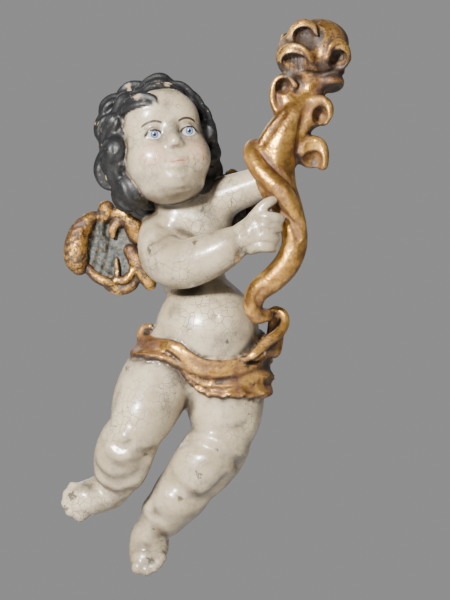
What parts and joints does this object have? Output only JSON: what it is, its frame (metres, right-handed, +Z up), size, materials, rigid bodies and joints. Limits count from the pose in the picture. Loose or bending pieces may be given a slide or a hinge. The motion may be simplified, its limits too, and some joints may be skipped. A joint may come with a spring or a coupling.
{
  "type": "wall-hung carved putto with a horn of plenty",
  "caption": "Carved, painted and gilded wooden putto that hangs flat on a wall, flying with short gilt wings and hugging a tall gilded horn of plenty.",
  "frame": {"origin": "middle of the flat patch on the back, between the wings, where the carving rests against the wall", "axes": "+Y is the direction into the wall, +Z is up, +X is towards the putto's left side and the horn; the figure faces -Y"},
  "size_m": [0.2164, 0.1036, 0.4189],
  "materials": {
    "painted_wood": "crackled cream flesh paint under an old satin varnish, black painted hair and a gilded loincloth",
    "gilded_wood": "worn gilding over red-brown ground",
    "painted_gilded_wood": "worn gilding on the rims, blue-grey paint speckled with dirt and gold inside"
  },
  "bodies": {
    "root": {"putto": "painted_wood", "horn_of_plenty": "gilded_wood", "wing_right": "painted_gilded_wood", "wing_left": "painted_gilded_wood"}
  },
  "joints": []
}
